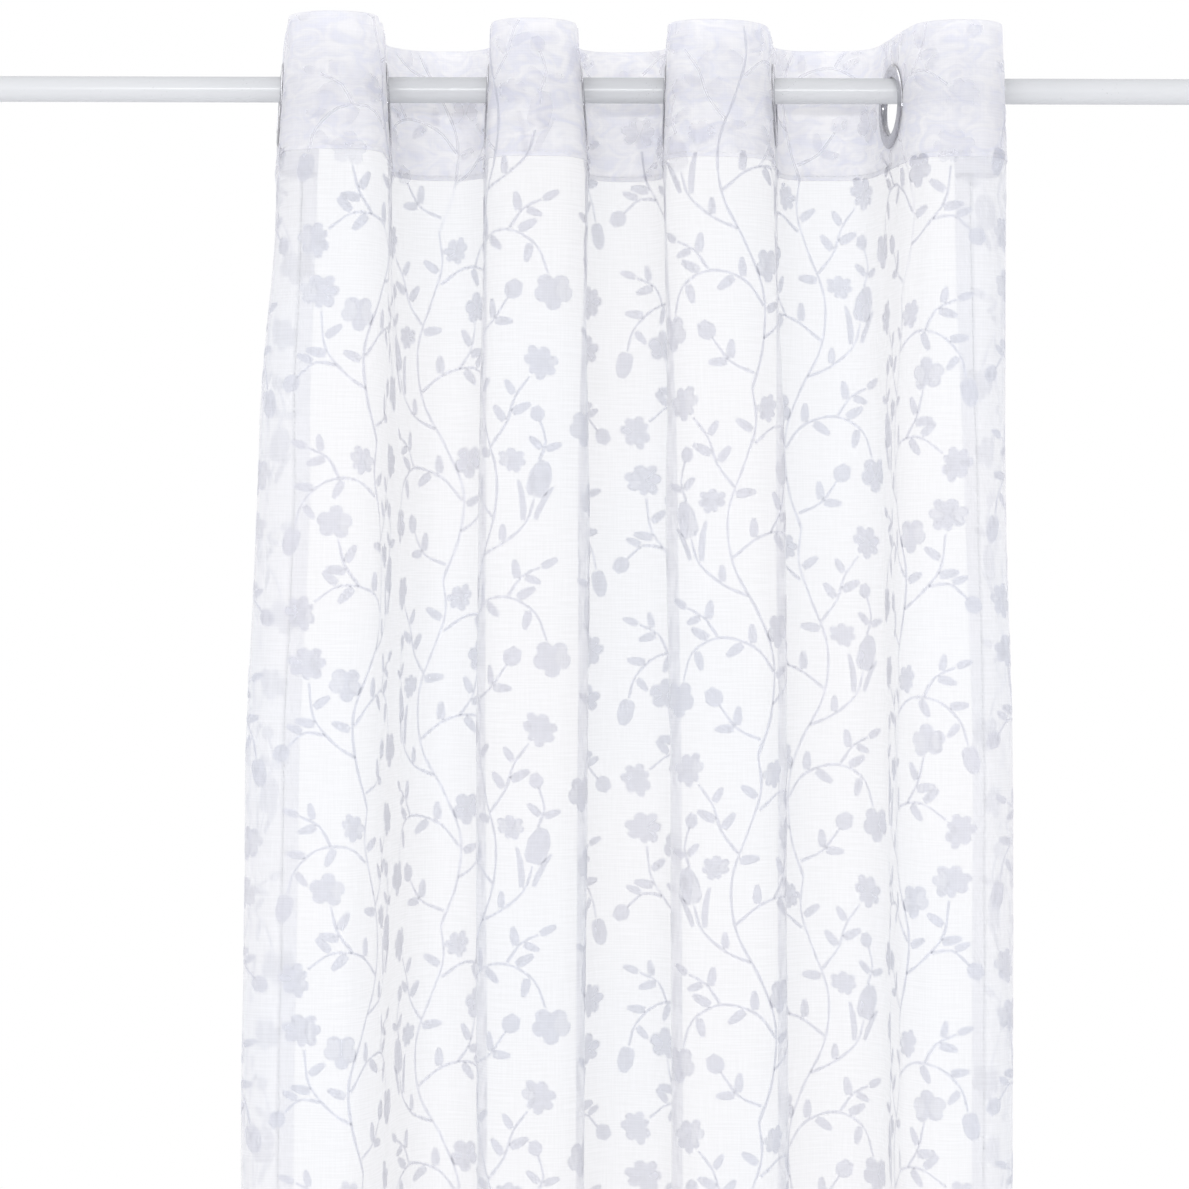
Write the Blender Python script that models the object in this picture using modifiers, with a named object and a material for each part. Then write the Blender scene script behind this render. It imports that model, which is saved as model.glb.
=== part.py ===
# Sheer voile curtain with eight eyelets, hanging on a plain round rod.
#
# Metres, +Z up. The origin is on the rod's axis at the middle of the heading. The rod runs
# along X, and the curtain's face looks along -Y. Folds in front of the rod have y < 0.

import math
from collections import namedtuple

import bmesh
import bpy
from mathutils import Matrix, Vector

GAP = 0.0003            # between pieces that touch

# Rod
ROD_RADIUS = 0.009
ROD_LENGTH = 1.200
ROD_SIDES = 32
ROD_EDGE = 0.0008       # rounded arris round each end

# Cloth
PANEL_THICKNESS = 0.0012
HEM_THICKNESS = 0.0020
HEADING_THICKNESS = 0.0018   # two layers of voile with a tape between them
HEADING_TOP = 0.0380
HEADING_BOTTOM = -0.0547
PANEL_BOTTOM = -2.3615       # 2.40 m below the heading's top edge
SIDE_HEM = 0.013
BOTTOM_HEM = 0.060
HEM_STEP = 0.0015            # the width over which a hem's extra thickness starts

# Eyelets
BORE_RADIUS = 0.0200
BORE_LAND = 0.0010           # half the length of the bore's straight part
BARREL_RADIUS = 0.0226
FLANGE_RADIUS = 0.0295
EYELET_STEPS = 20
EYELET_HEIGHT = ROD_RADIUS + GAP - BORE_RADIUS   # the top of an upright bore rests on the rod

# Side margins: the cloth outside the first and last eyelet turns in behind the curtain.
MARGIN_CLOTH = 0.071
MARGIN_DEPTH = 0.046
MARGIN_RADIUS = 0.013

CORNER_STEPS = 5
PANEL_ROWS = 11
ROW_CROWDING = 1.35     # rows lie closer together near the heading

# Heights at which the tables below give the cloth's place, under the heading's bottom edge.
LEVELS = (-0.25, -0.50, -0.76, -1.50, PANEL_BOTTOM)

# One row for each wall, the stretch of cloth that runs from front to back through an eyelet.
# x: where it crosses the rod line. lean: degrees that it turns right as it goes back.
# tilt: degrees that its top leans to the right. levels: x at each of LEVELS.
# low_lean: its lean below the heading.
Wall = namedtuple("Wall", "x lean tilt levels low_lean")
WALLS = (
    Wall(-0.2536, -7.0, 3.5, (-0.2655, -0.2735, -0.2765, -0.2785, -0.2790), -2.0),
    Wall(-0.1803, -3.0, -3.0, (-0.1758, -0.1779, -0.1793, -0.1815, -0.1790), 7.8),
    Wall(-0.1088, -2.0, 2.5, (-0.1128, -0.1125, -0.1125, -0.1105, -0.1130), 2.8),
    Wall(-0.0438, 0.0, -4.5, (-0.0416, -0.0429, -0.0430, -0.0455, -0.0430), -5.7),
    Wall(0.0154, 1.0, 1.5, (0.0202, 0.0235, 0.0249, 0.0228, 0.0240), 7.8),
    Wall(0.0900, 5.5, -2.5, (0.0948, 0.0979, 0.0988, 0.1005, 0.0985), -2.6),
    Wall(0.1736, -10.5, 1.0, (0.1734, 0.1751, 0.1756, 0.1750, 0.1760), -2.2),
    Wall(0.2482, 3.0, -2.5, (0.2500, 0.2555, 0.2560, 0.2575, 0.2590), 1.0),
)

# One row for each fold, the cloth between two neighbouring eyelets.
# side: -1 in front of the rod, 1 behind it. cloth: its length along the cloth from eyelet to
# eyelet, which sets how deep the fold is. left_radius, right_radius and low_radius: its corners
# at the heading, and both below it. lift: how much the fold rides up at the heading.
Fold = namedtuple("Fold", "side cloth left_radius right_radius low_radius lift")
FOLDS = (
    Fold(-1, 0.192, 0.0310, 0.0310, 0.0240, 0.0037),
    Fold(1, 0.180, 0.0360, 0.0270, 0.0260, 0.0),
    Fold(-1, 0.180, 0.0240, 0.0290, 0.0210, 0.0),
    Fold(1, 0.178, 0.0235, 0.0235, 0.0230, 0.0),
    Fold(-1, 0.180, 0.0240, 0.0380, 0.0220, 0.0),
    Fold(1, 0.175, 0.0250, 0.0270, 0.0240, 0.0),
    Fold(-1, 0.173, 0.0330, 0.0240, 0.0240, 0.0006),
)

# Degrees by which each margin turns in behind the curtain, at the heading and below it.
LEFT_TURN = (86.0, 88.0)
RIGHT_TURN = (86.0, 45.0)
SETTLE = 0.25           # how far below the heading the low leans, radii and turns are reached
LIFT_FADE = 0.30        # the lift is gone this far below the heading


def smooth(share):
    share = min(max(share, 0.0), 1.0)
    return share * share * (3.0 - 2.0 * share)


def wall_x(wall, height):
    """Where the wall crosses the rod line at this height."""
    slope = math.tan(math.radians(wall.tilt))
    if height >= HEADING_BOTTOM:
        return wall.x + slope * (height - EYELET_HEIGHT)
    start = wall.x + slope * (HEADING_BOTTOM - EYELET_HEIGHT)
    heights = (HEADING_BOTTOM,) + LEVELS
    places = (start,) + wall.levels
    for upper, lower, here, below in zip(heights, heights[1:], places, places[1:]):
        if height >= lower:
            return here + (below - here) * smooth((upper - height) / (upper - lower))
    return places[-1]


def mixed(upper, lower, height):
    """The value at this height: upper in the heading, lower from SETTLE below it downwards."""
    return upper + (lower - upper) * smooth((HEADING_BOTTOM - height) / SETTLE)


def wall_leans(height):
    return [math.radians(mixed(wall.lean, wall.low_lean, height)) for wall in WALLS]


def corner_saving(radius, turn):
    """How much shorter the cloth is round a corner than along its two sides."""
    return radius * (2.0 * math.tan(turn / 2.0) - turn)


def fold_depth(fold, left_x, right_x, left_lean, right_lean, radii):
    """The depth at which this fold holds its length of cloth."""
    turns = (math.pi / 2 - fold.side * left_lean, math.pi / 2 + fold.side * right_lean)
    saving = sum(corner_saving(radius, turn) for radius, turn in zip(radii, turns))
    spread = fold.side * (math.tan(right_lean) - math.tan(left_lean))
    for_each_metre = 1 / math.cos(left_lean) + 1 / math.cos(right_lean) + spread
    return (fold.cloth - (right_x - left_x) + saving) / for_each_metre


def margin_corners(x, lean, height, inward):
    """The back corner of a side margin and its free edge. inward is 1 at the left, -1 at the right."""
    turn = math.radians(mixed(*(LEFT_TURN if inward > 0 else RIGHT_TURN), height))
    along = Vector((math.sin(lean), math.cos(lean)))
    corner = Vector((x, 0.0)) + along * (MARGIN_DEPTH / math.cos(lean))
    used = MARGIN_DEPTH / math.cos(lean) - corner_saving(MARGIN_RADIUS, turn)
    onward = Matrix.Rotation(-inward * turn, 2) @ along
    return corner, corner + onward * (MARGIN_CLOTH - used)


def rounded_route(corners, radii):
    """Points along a line through the corners, each inner corner turned into an arc."""
    points = [corners[0]]
    for before, corner, after, radius in zip(corners, corners[1:], corners[2:], radii):
        into = (corner - before).normalized()
        out = (after - corner).normalized()
        turn = math.acos(into.dot(out))
        hand = 1.0 if into.x * out.y - into.y * out.x > 0 else -1.0
        inside = Vector((-into.y, into.x)) * hand
        centre = corner - into * radius * math.tan(turn / 2) + inside * radius
        for step in range(CORNER_STEPS + 1):
            swing = Matrix.Rotation(hand * turn * step / CORNER_STEPS, 2)
            points.append(centre - swing @ (inside * radius))
    points.append(corners[-1])
    return points


def with_hem_columns(points):
    """Adds the two columns where each side hem starts, measured in from the free edges."""
    def beside(edge, inner):
        along = (inner - edge).normalized()
        return [edge + along * SIDE_HEM, edge + along * (SIDE_HEM + HEM_STEP)]

    left = beside(points[0], points[1])
    right = beside(points[-1], points[-2])
    return points[:1] + left + points[1:-1] + right[::-1] + points[-1:]


def cloth_row(height):
    """The cloth's plan at this height, as (x, y) points from the left free edge to the right."""
    xs = [wall_x(wall, height) for wall in WALLS]
    leans = wall_leans(height)
    left_back, left_edge = margin_corners(xs[0], leans[0], height, 1)
    right_back, right_edge = margin_corners(xs[-1], leans[-1], height, -1)
    corners = [left_edge, left_back]
    radii = [MARGIN_RADIUS]
    for number, fold in enumerate(FOLDS):
        upper_pair = (fold.left_radius, fold.right_radius)
        pair = [mixed(radius, fold.low_radius, height) for radius in upper_pair]
        sides = xs[number], xs[number + 1], leans[number], leans[number + 1]
        reach = fold.side * fold_depth(fold, *sides, pair)
        for x, lean in zip(sides[:2], sides[2:]):
            corners.append(Vector((x + reach * math.tan(lean), reach)))
        radii += pair
    corners += [right_back, right_edge]
    radii.append(MARGIN_RADIUS)
    return with_hem_columns(rounded_route(corners, radii))


def lifts(row, height):
    """How far each point of a row rides up, most in the middle of a lifted fold."""
    fade = 1.0 - smooth((HEADING_BOTTOM - height) / LIFT_FADE)
    xs = [wall_x(wall, height) for wall in WALLS]
    raised = []
    for point in row:
        lift = 0.0
        for fold, left, right in zip(FOLDS, xs, xs[1:]):
            if left < point.x < right and point.y * fold.side > FLANGE_RADIUS:
                lift = fold.lift * smooth((abs(point.y) - FLANGE_RADIUS) / FLANGE_RADIUS)
        raised.append(lift * fade)
    return raised


def cloth_points(height, at_height=None):
    """A row of the sheet in 3-D. at_height moves the row without changing its plan."""
    row = cloth_row(height)
    base = height if at_height is None else at_height
    return [Vector((p.x, p.y, base + lift)) for p, lift in zip(row, lifts(row, height))]


def sheet_mesh(name, rows):
    """An open sheet through the rows of points, its face towards -Y."""
    mesh = bpy.data.meshes.new(name)
    shape = bmesh.new()
    grid = [[shape.verts.new(point) for point in row] for row in rows]
    for upper, lower in zip(grid, grid[1:]):
        for column in range(len(upper) - 1):
            shape.faces.new((upper[column], lower[column], lower[column + 1], upper[column + 1]))
    shape.to_mesh(mesh)
    shape.free()
    mesh.shade_smooth()
    return mesh


def material(name, colour, roughness, metallic=0.0):
    made = bpy.data.materials.new(name)
    made.use_nodes = True
    shader = made.node_tree.nodes["Principled BSDF"]
    shader.inputs["Base Color"].default_value = (*colour, 1.0)
    shader.inputs["Roughness"].default_value = roughness
    shader.inputs["Metallic"].default_value = metallic
    return made


def add_object(name, mesh, collection, finish=None):
    added = bpy.data.objects.new(name, mesh)
    collection.objects.link(added)
    if finish:
        mesh.materials.append(finish)
    return added


def solidify(sheet, thickness):
    modifier = sheet.modifiers.new("Thickness", "SOLIDIFY")
    modifier.thickness = thickness
    modifier.offset = 0.0
    modifier.use_even_offset = True
    return modifier


def make_panel(collection):
    """The voile from the heading down to the floor hem, thicker along its three hems."""
    span = HEADING_BOTTOM - (PANEL_BOTTOM + BOTTOM_HEM + HEM_STEP)
    shares = [(row / PANEL_ROWS) ** ROW_CROWDING for row in range(PANEL_ROWS + 1)]
    heights = [HEADING_BOTTOM - span * share for share in shares]
    heights += [PANEL_BOTTOM + BOTTOM_HEM, PANEL_BOTTOM]
    rows = [cloth_points(height) for height in heights]
    rows[0] = cloth_points(HEADING_BOTTOM, HEADING_BOTTOM - GAP)
    panel = add_object("panel", sheet_mesh("panel", rows), collection,
                       material("voile", (0.88, 0.88, 0.92), 0.85))
    columns = len(rows[0])
    hem = panel.vertex_groups.new(name="hems")
    for vertex in panel.data.vertices:
        row, column = divmod(vertex.index, columns)
        if row >= len(rows) - 2 or column < 2 or column >= columns - 2:
            hem.add([vertex.index], 1.0, "REPLACE")
    thickness = solidify(panel, HEM_THICKNESS)
    thickness.vertex_group = hem.name
    thickness.thickness_vertex_group = PANEL_THICKNESS / HEM_THICKNESS
    return panel


def eyelet_place(wall):
    """The matrix that puts an eyelet's axis square to its wall, its bore's top on the rod."""
    lean = math.radians(wall.lean)
    tilt = math.radians(wall.tilt)
    back = Vector((math.sin(lean), math.cos(lean), 0.0))
    upright = Vector((math.tan(tilt), 0.0, 1.0))
    axis = back.cross(upright).normalized()
    upward = axis.cross(back)
    turned = Matrix((back, upward, axis)).transposed().to_4x4()
    height = ROD_RADIUS + GAP + BORE_LAND * math.tan(abs(tilt)) - BORE_RADIUS * math.cos(tilt)
    return Matrix.Translation((wall_x(wall, height), 0.0, height)) @ turned


def make_heading(collection, cutters):
    """The stiff doubled band, with a hole for each eyelet's barrel."""
    rows = [cloth_points(HEADING_TOP), cloth_points(HEADING_BOTTOM)]
    heading = add_object("heading", sheet_mesh("heading", rows), collection,
                         material("heading_voile", (0.86, 0.86, 0.91), 0.85))
    solidify(heading, HEADING_THICKNESS)
    punch = bpy.data.meshes.new("punch")
    shape = bmesh.new()
    bmesh.ops.create_cone(shape, cap_ends=True, segments=EYELET_STEPS,
                          radius1=BARREL_RADIUS + GAP, radius2=BARREL_RADIUS + GAP,
                          depth=HEADING_THICKNESS * 5)
    shape.to_mesh(punch)
    shape.free()
    for number, wall in enumerate(WALLS, 1):
        cutter = add_object(f"punch_{number}", punch, cutters)
        cutter.matrix_world = eyelet_place(wall)
        cutter.hide_render = True
        cutter.display_type = "WIRE"
    heading.modifiers.new("Flat faces", "TRIANGULATE")
    holes = heading.modifiers.new("Holes", "BOOLEAN")
    holes.operand_type = "COLLECTION"
    holes.collection = cutters
    holes.operation = "DIFFERENCE"
    return heading


def eyelet_profile():
    """Half of an eyelet's section as (radius, height), from its bore out to the cloth's side."""
    cloth_side = HEADING_THICKNESS / 2 + GAP
    return (
        (BORE_RADIUS, BORE_LAND),
        (BORE_RADIUS + 0.0011, cloth_side + 0.0010),
        (BORE_RADIUS + 0.0036, cloth_side + 0.0014),
        (FLANGE_RADIUS - 0.0022, cloth_side + 0.0011),
        (FLANGE_RADIUS, cloth_side + 0.0004),
        (FLANGE_RADIUS - 0.0003, cloth_side),
        (BARREL_RADIUS, cloth_side),
    )


def make_eyelets(collection):
    """Eight two-sided rings. Each grips the heading between its flanges."""
    upper = eyelet_profile()
    section = upper + tuple((radius, -height) for radius, height in reversed(upper))
    mesh = bpy.data.meshes.new("eyelet")
    shape = bmesh.new()
    ring = [shape.verts.new((radius, 0.0, height)) for radius, height in section]
    for here, following in zip(ring, ring[1:] + ring[:1]):
        shape.edges.new((here, following))
    shape.to_mesh(mesh)
    shape.free()
    mesh.materials.append(material("chrome", (0.62, 0.62, 0.66), 0.18, 1.0))
    for number, wall in enumerate(WALLS, 1):
        eyelet = add_object(f"eyelet_{number}", mesh, collection)
        eyelet.matrix_world = eyelet_place(wall)
        turn = eyelet.modifiers.new("Turn", "SCREW")
        turn.steps = EYELET_STEPS
        turn.render_steps = EYELET_STEPS
        turn.use_merge_vertices = True
        turn.merge_threshold = 0.00005


def make_rod(collection):
    """The plain round rod, its ends square with a small rounded edge."""
    mesh = bpy.data.meshes.new("rod")
    shape = bmesh.new()
    bmesh.ops.create_cone(shape, cap_ends=True, segments=ROD_SIDES, radius1=ROD_RADIUS,
                          radius2=ROD_RADIUS, depth=ROD_LENGTH)
    shape.to_mesh(mesh)
    shape.free()
    mesh.shade_smooth()
    mesh.set_sharp_from_angle(angle=math.radians(40))
    rod = add_object("rod", mesh, collection, material("white_paint", (0.80, 0.81, 0.83), 0.35))
    rod.rotation_euler = (0.0, math.pi / 2, 0.0)
    edge = rod.modifiers.new("Arris", "BEVEL")
    edge.width = ROD_EDGE
    edge.segments = 2
    edge.limit_method = "ANGLE"
    edge.angle_limit = math.radians(60)


def make_curtain():
    for old in list(bpy.data.objects):
        bpy.data.objects.remove(old)
    curtain = bpy.data.collections.new("voile_curtain")
    cutters = bpy.data.collections.new("cutters")
    bpy.context.scene.collection.children.link(curtain)
    bpy.context.scene.collection.children.link(cutters)
    make_rod(curtain)
    make_heading(curtain, cutters)
    make_panel(curtain)
    make_eyelets(curtain)


make_curtain()
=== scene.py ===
import math
import bpy
import numpy as np
from mathutils import Matrix, Vector


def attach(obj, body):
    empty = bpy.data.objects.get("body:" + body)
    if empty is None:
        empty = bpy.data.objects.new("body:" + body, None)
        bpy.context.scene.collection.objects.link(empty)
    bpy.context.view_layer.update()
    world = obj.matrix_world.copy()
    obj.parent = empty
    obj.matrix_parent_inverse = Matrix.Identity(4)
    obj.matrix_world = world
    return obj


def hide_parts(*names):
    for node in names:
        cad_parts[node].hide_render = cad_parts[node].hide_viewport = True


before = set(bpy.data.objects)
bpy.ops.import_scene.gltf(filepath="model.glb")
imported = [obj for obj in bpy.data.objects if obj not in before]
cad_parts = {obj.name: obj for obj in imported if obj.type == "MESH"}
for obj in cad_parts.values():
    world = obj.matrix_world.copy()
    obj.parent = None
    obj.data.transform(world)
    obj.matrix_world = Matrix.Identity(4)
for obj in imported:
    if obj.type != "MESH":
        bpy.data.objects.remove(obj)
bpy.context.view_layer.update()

# Sheer voile curtain on eight eyelets. Metres, +Z up, the rod along X through the origin,
# the curtain's face towards -Y.

bpy.ops.object.select_all(action="DESELECT")

# ---- camera, at the photograph's place

photoCamera = {
    "place": (-0.034, -2.256, -0.3528),
    "tip": 90.0,         # degrees, level
    "roll": -0.15,
    "lens": 97.58,       # mm
    "sensor": 36.0,
}
bpy.ops.object.camera_add(location=photoCamera["place"])
cameraObject = bpy.context.object
cameraObject.rotation_euler = (math.radians(photoCamera["tip"]), math.radians(photoCamera["roll"]), 0.0)
cameraObject.data.lens = photoCamera["lens"]
cameraObject.data.sensor_width = photoCamera["sensor"]
cameraObject.data.clip_start = 0.05
bpy.context.scene.camera = cameraObject
print("camera placed")

# ---- how the cloth hangs: the same sizes and folds as the solids

hang = {
    "width": 1.400,            # the cloth's width laid flat, between its two side edges
    "gap": 0.0003,             # between an eyelet and the rod it rests on
    "rodRadius": 0.009,
    "rodLength": 1.200,
    "headingTop": 0.0380,
    "headingBottom": -0.0547,
    "panelBottom": -2.3615,
    "marginCloth": 0.071,      # from a side edge to the first eyelet
    "marginDepth": 0.046,
    "marginRadius": 0.013,
    "leftTurn": (86.0, 88.0),      # how far each margin turns in, at the heading and at the bottom
    "rightTurn": (86.0, 45.0),
    "boreRadius": 0.0200,
    "boreLand": 0.0010,
    "flangeRadius": 0.0295,
    "liftFade": 0.30,      # below the heading, where a fold no longer rides up
    "settle": 0.25,        # and where leans and radii have become those of the bottom
    "levels": (-0.25, -0.50, -0.76, -1.50, -2.3615),
}
hang["eyeletHeight"] = hang["rodRadius"] + hang["gap"] - hang["boreRadius"]

# One row for each stretch of cloth that runs from front to back through an eyelet:
# x at the rod, lean and tilt in degrees, x at each level below, lean at the bottom.
walls = [dict(zip(("x", "lean", "tilt", "levels", "lowLean"), row)) for row in (
    (-0.2536, -7.0, 3.5, (-0.2655, -0.2735, -0.2765, -0.2785, -0.2790), -2.0),
    (-0.1803, -3.0, -3.0, (-0.1758, -0.1779, -0.1793, -0.1815, -0.1790), 7.8),
    (-0.1088, -2.0, 2.5, (-0.1128, -0.1125, -0.1125, -0.1105, -0.1130), 2.8),
    (-0.0438, 0.0, -4.5, (-0.0416, -0.0429, -0.0430, -0.0455, -0.0430), -5.7),
    (0.0154, 1.0, 1.5, (0.0202, 0.0235, 0.0249, 0.0228, 0.0240), 7.8),
    (0.0900, 5.5, -2.5, (0.0948, 0.0979, 0.0988, 0.1005, 0.0985), -2.6),
    (0.1736, -10.5, 1.0, (0.1734, 0.1751, 0.1756, 0.1750, 0.1760), -2.2),
    (0.2482, 3.0, -2.5, (0.2500, 0.2555, 0.2560, 0.2575, 0.2590), 1.0),
)]

# One row for each fold between two eyelets: in front (-1) or behind (1), its length of cloth,
# the radii of its two corners at the heading and of both at the bottom, how far it rides up.
folds = [dict(zip(("side", "cloth", "left", "right", "low", "lift"), row)) for row in (
    (-1, 0.192, 0.0310, 0.0310, 0.0240, 0.0037),
    (1, 0.180, 0.0360, 0.0270, 0.0260, 0.0),
    (-1, 0.180, 0.0240, 0.0290, 0.0210, 0.0),
    (1, 0.178, 0.0235, 0.0235, 0.0230, 0.0),
    (-1, 0.180, 0.0240, 0.0380, 0.0220, 0.0),
    (1, 0.175, 0.0250, 0.0270, 0.0240, 0.0),
    (-1, 0.173, 0.0330, 0.0240, 0.0240, 0.0006),
)]
wallReach = hang["marginCloth"] + np.concatenate(([0.0], np.cumsum([fold["cloth"] for fold in folds])))

# Soft creases that run down the cloth: where across the cloth, from which
# height to which, half width, how far it stands forward (or back), and its sideways drift.
creases = [dict(zip(("reach", "top", "bottom", "half", "rise", "drift"), row)) for row in (
    (0.040, 0.02, -2.30, 0.011, -0.0012, 0.004),
    (0.118, -0.02, -1.70, 0.011, 0.0020, 0.006),
    (0.151, -0.10, -2.20, 0.012, -0.0024, -0.004),
    (0.186, -0.03, -1.30, 0.009, 0.0016, 0.005),
    (0.214, -0.30, -2.34, 0.012, -0.0020, -0.006),
    (0.318, -0.07, -1.50, 0.013, 0.0022, 0.005),
    (0.352, -0.04, -2.34, 0.015, -0.0030, -0.008),
    (0.387, -0.16, -1.90, 0.011, 0.0018, 0.004),
    (0.492, -0.06, -1.10, 0.010, -0.0016, 0.004),
    (0.528, -0.20, -2.30, 0.013, 0.0022, -0.005),
    (0.566, -0.05, -1.80, 0.010, -0.0018, 0.003),
    (0.676, -0.08, -2.34, 0.013, 0.0024, 0.006),
    (0.709, -0.03, -1.40, 0.010, -0.0022, -0.004),
    (0.744, -0.24, -2.10, 0.014, 0.0020, 0.003),
    (0.858, -0.05, -2.00, 0.010, -0.0016, -0.003),
    (0.888, -0.30, -2.34, 0.014, 0.0020, 0.006),
    (0.925, -0.06, -1.20, 0.010, -0.0018, 0.004),
    (1.030, -0.06, -1.60, 0.012, 0.0020, -0.004),
    (1.066, -0.12, -2.34, 0.015, -0.0028, 0.006),
    (1.100, -0.04, -1.90, 0.010, 0.0018, 0.003),
    (1.205, -0.03, -1.10, 0.010, -0.0018, 0.005),
    (1.240, -0.18, -2.34, 0.013, 0.0022, -0.005),
    (1.274, -0.05, -1.50, 0.009, -0.0018, 0.003),
    (1.362, 0.00, -2.20, 0.010, -0.0012, -0.004),
)]

# Shares of a crease's length over which it rises at its top and dies out at its bottom.
creaseEnds = {"top": 0.16, "bottom": 0.25}

# The cloth's slow waves: amplitude, wavelength across and down, and a turn to start from.
ripples = [dict(zip(("rise", "across", "down", "start"), row)) for row in (
    (0.00050, 0.061, 0.83, 0.4),
    (0.00035, 0.037, 0.47, 2.1),
    (0.00030, 0.101, -0.61, 4.0),
    (0.00018, 0.023, -0.29, 5.2),
)]
# Short gathers under the heading's seam, which die out down the cloth.
gathers = {"rise": 0.0007, "across": 0.0190, "second": 0.0310, "fade": 0.055, "drop": 1.5}
# Where the stiff heading calms the cloth: from this far under its lower edge, over this height,
# by this share of the slow waves, and wholly round an eyelet.
calm = {"under": 0.004, "over": 0.012, "share": 0.6, "eyelet": 0.029, "eyeletOver": 0.016}
# Soft dents in the stiff heading: across, height, half width, half height, depth.
dents = [dict(zip(("reach", "height", "half", "tall", "rise"), row)) for row in (
    (0.118, 0.012, 0.012, 0.034, -0.0008),
    (0.150, -0.030, 0.045, 0.010, 0.0009),
    (0.166, -0.041, 0.050, 0.006, -0.0007),
    (0.205, 0.002, 0.016, 0.020, -0.0006),
    (0.345, -0.028, 0.020, 0.016, 0.0007),
    (0.372, 0.012, 0.012, 0.022, -0.0006),
    (0.508, 0.016, 0.012, 0.018, -0.0006),
    (0.545, -0.034, 0.028, 0.010, 0.0008),
    (0.568, 0.004, 0.010, 0.024, -0.0005),
    (0.700, -0.036, 0.024, 0.012, 0.0007),
    (0.868, 0.014, 0.014, 0.018, -0.0006),
    (0.905, -0.024, 0.022, 0.014, 0.0008),
    (0.930, 0.010, 0.010, 0.020, -0.0005),
    (1.060, -0.030, 0.026, 0.014, 0.0008),
    (1.092, 0.014, 0.014, 0.020, -0.0006),
    (1.215, 0.020, 0.012, 0.016, -0.0007),
    (1.248, -0.022, 0.020, 0.016, 0.0008),
    (1.270, -0.036, 0.016, 0.008, -0.0006),
)]


def smooth(share):
    share = np.clip(share, 0.0, 1.0)
    return share * share * (3.0 - 2.0 * share)


def wallAt(wall, height):    # x where this wall crosses the rod line
    slope = math.tan(math.radians(wall["tilt"]))
    if height >= hang["headingBottom"]:
        return wall["x"] + slope * (height - hang["eyeletHeight"])
    start = wall["x"] + slope * (hang["headingBottom"] - hang["eyeletHeight"])
    heights = (hang["headingBottom"],) + hang["levels"]
    places = (start,) + wall["levels"]
    for upper, lower, here, below in zip(heights, heights[1:], places, places[1:]):
        if height >= lower:
            return here + (below - here) * smooth((upper - height) / (upper - lower))
    return places[-1]


def mixed(upper, lower, height):    # the change is over a quarter of a metre below the heading
    return upper + (lower - upper) * smooth((hang["headingBottom"] - height) / hang["settle"])


def cornerSaving(radius, turn):
    return radius * (2.0 * math.tan(turn / 2.0) - turn)


def foldReach(fold, xs, leans, radii):
    side = fold["side"]
    turns = (math.pi / 2 - side * leans[0], math.pi / 2 + side * leans[1])
    saving = sum(cornerSaving(radius, turn) for radius, turn in zip(radii, turns))
    spread = side * (math.tan(leans[1]) - math.tan(leans[0]))
    eachMetre = 1 / math.cos(leans[0]) + 1 / math.cos(leans[1]) + spread
    return side * (fold["cloth"] - (xs[1] - xs[0]) + saving) / eachMetre


def marginCorners(x, lean, height, inward):    # a side margin's back corner and its free edge
    turn = math.radians(mixed(*hang["leftTurn" if inward > 0 else "rightTurn"], height))
    along = Vector((math.sin(lean), math.cos(lean)))
    reach = hang["marginDepth"] / math.cos(lean)
    corner = Vector((x, 0.0)) + along * reach
    onward = Matrix.Rotation(-inward * turn, 2) @ along
    return corner, corner + onward * (hang["marginCloth"] - reach + cornerSaving(hang["marginRadius"], turn))


def roundedRoute(corners, radii, arcSteps=14):
    points = [corners[0]]
    for before, corner, after, radius in zip(corners, corners[1:], corners[2:], radii):
        into = (corner - before).normalized()
        out = (after - corner).normalized()
        turn = math.acos(into.dot(out))
        hand = 1.0 if into.x * out.y - into.y * out.x > 0 else -1.0
        inside = Vector((-into.y, into.x)) * hand
        centre = corner - into * radius * math.tan(turn / 2) + inside * radius
        for step in range(arcSteps + 1):
            points.append(centre - Matrix.Rotation(hand * turn * step / arcSteps, 2) @ (inside * radius))
    points.append(corners[-1])
    return points


def planRoute(height):    # the cloth seen from above at this height, left edge to right edge
    xs = [wallAt(wall, height) for wall in walls]
    leans = [math.radians(mixed(wall["lean"], wall["lowLean"], height)) for wall in walls]
    leftBack, leftEdge = marginCorners(xs[0], leans[0], height, 1)
    rightBack, rightEdge = marginCorners(xs[-1], leans[-1], height, -1)
    corners = [leftEdge, leftBack]
    radii = [hang["marginRadius"]]
    for number, fold in enumerate(folds):
        pair = [mixed(fold[end], fold["low"], height) for end in ("left", "right")]
        reach = foldReach(fold, xs[number:number + 2], leans[number:number + 2], pair)
        for x, lean in zip(xs[number:number + 2], leans[number:number + 2]):
            corners.append(Vector((x + reach * math.tan(lean), reach)))
        radii += pair
    radii.append(hang["marginRadius"])
    return roundedRoute(corners + [rightBack, rightEdge], radii), xs


def liftOf(places, xs, height):    # how far a fold rides up near the heading
    lift = np.zeros(len(places))
    for fold, left, right in zip(folds, xs, xs[1:]):
        inside = (places[:, 0] > left) & (places[:, 0] < right) & (places[:, 1] * fold["side"] > 0)
        deep = smooth(np.abs(places[:, 1]) / hang["flangeRadius"] - 1.0)
        lift += inside * fold["lift"] * deep
    return lift * (1.0 - smooth((hang["headingBottom"] - height) / hang["liftFade"]))


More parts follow.
